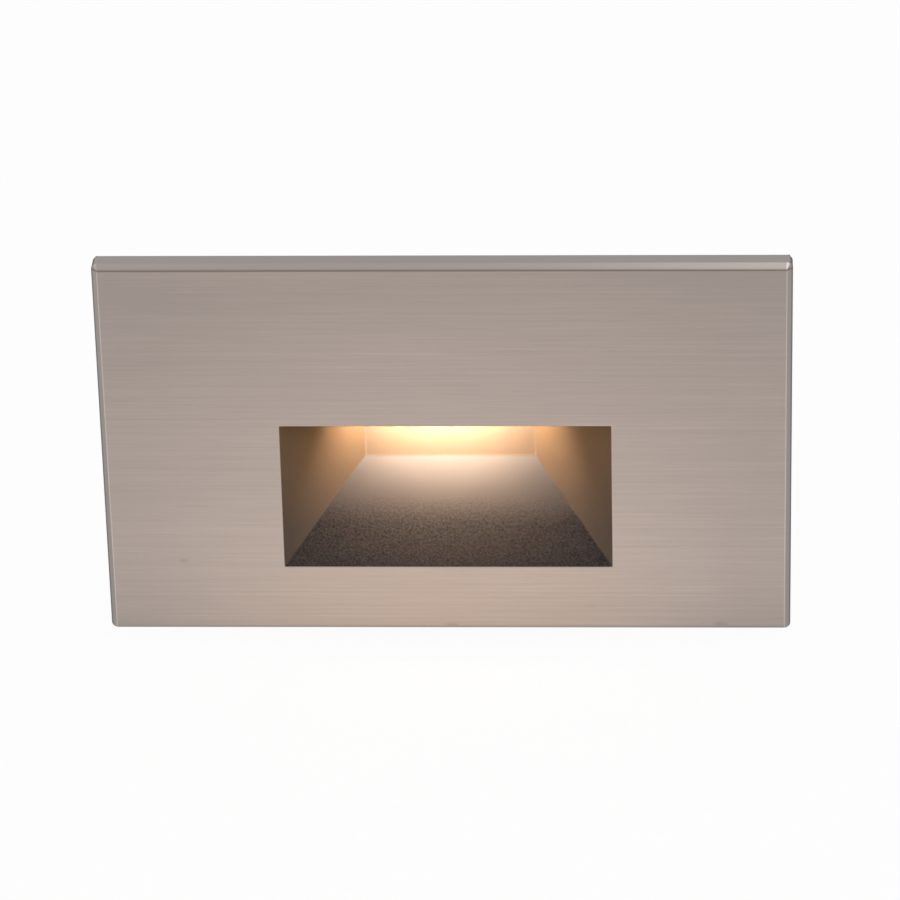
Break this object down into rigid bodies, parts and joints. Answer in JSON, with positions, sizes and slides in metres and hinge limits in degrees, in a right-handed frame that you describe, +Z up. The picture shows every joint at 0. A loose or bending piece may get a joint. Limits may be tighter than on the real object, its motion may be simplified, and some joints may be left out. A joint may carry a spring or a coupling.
{
  "type": "step light",
  "caption": "Wall step light: bevelled metal faceplate with a scooped mouth that throws light down, hung on a bracket, with a sealed driver housing behind.",
  "frame": {"origin": "on the wall plane, midway between the two box screws", "axes": "facing the wall: +X to the right along the plate's length, +Y into the wall, +Z up"},
  "size_m": [0.127, 0.051, 0.0762],
  "materials": {
    "plated_steel": "zinc plated sheet",
    "brushed_face": "brushed in lines along its width, nickel tone",
    "black_foam": "closed-cell sealing foam",
    "stainless": "bright",
    "grey_silicone": "soft silicone",
    "frosted_glass": "frosted",
    "white_plastic": "moulded, diffuse white",
    "board_aluminium": "white solder mask on an aluminium board",
    "phosphor": "yellow phosphor in a white package",
    "bare_aluminium": "bare sheet",
    "red_jacket": "lead jacket",
    "cast_aluminium": "die-cast, fine grain",
    "black_rubber": "moulded",
    "green_laminate": "glass-epoxy laminate with solder mask",
    "insulating_sheet": "thin insulating sheet",
    "capacitor_sleeve": "shrunk sleeve over a can",
    "film_case": "moulded case",
    "copper_winding": "varnished copper on a ferrite bobbin",
    "black_epoxy": "moulded epoxy",
    "blue_coating": "dipped coating"
  },
  "bodies": {
    "bracket": {"mounting_bracket": "plated_steel"},
    "light_unit": {"faceplate": "brushed_face", "wall_gasket": "black_foam", "lens_gasket": "grey_silicone", "lens": "frosted_glass", "light_reflector": "white_plastic", "led_board": "board_aluminium", "led_emitters": "phosphor", "thermal_pad": "grey_silicone", "heat_spreader": "bare_aluminium", "spreader_screws": "stainless", "led_leads": "red_jacket", "housing_gasket": "grey_silicone", "rear_housing": "cast_aluminium", "housing_screws": "stainless", "wire_gland": "black_rubber", "driver_board": "green_laminate", "driver_insulator": "insulating_sheet", "driver_screws": "stainless", "filter_capacitor": "capacitor_sleeve", "film_capacitor": "film_case", "power_inductor": "copper_winding", "bridge_rectifier": "black_epoxy", "surge_varistor": "blue_coating", "input_fuse": "black_epoxy", "driver_chip": "black_epoxy"},
    "left_screw": {"set_screw_left": "stainless"},
    "right_screw": {"set_screw_right": "stainless"}
  },
  "joints": [
    {"name": "lift_off", "type": "slide", "parent": "bracket", "child": "light_unit", "axis": [0, -1, 0], "range_m": [0, 0.06]},
    {"name": "left_back_off", "type": "slide", "parent": "light_unit", "child": "left_screw", "axis": [0, 0, -1], "range_m": [0, 0.003]},
    {"name": "right_back_off", "type": "slide", "parent": "light_unit", "child": "right_screw", "axis": [0, 0, -1], "range_m": [0, 0.003]}
  ]
}
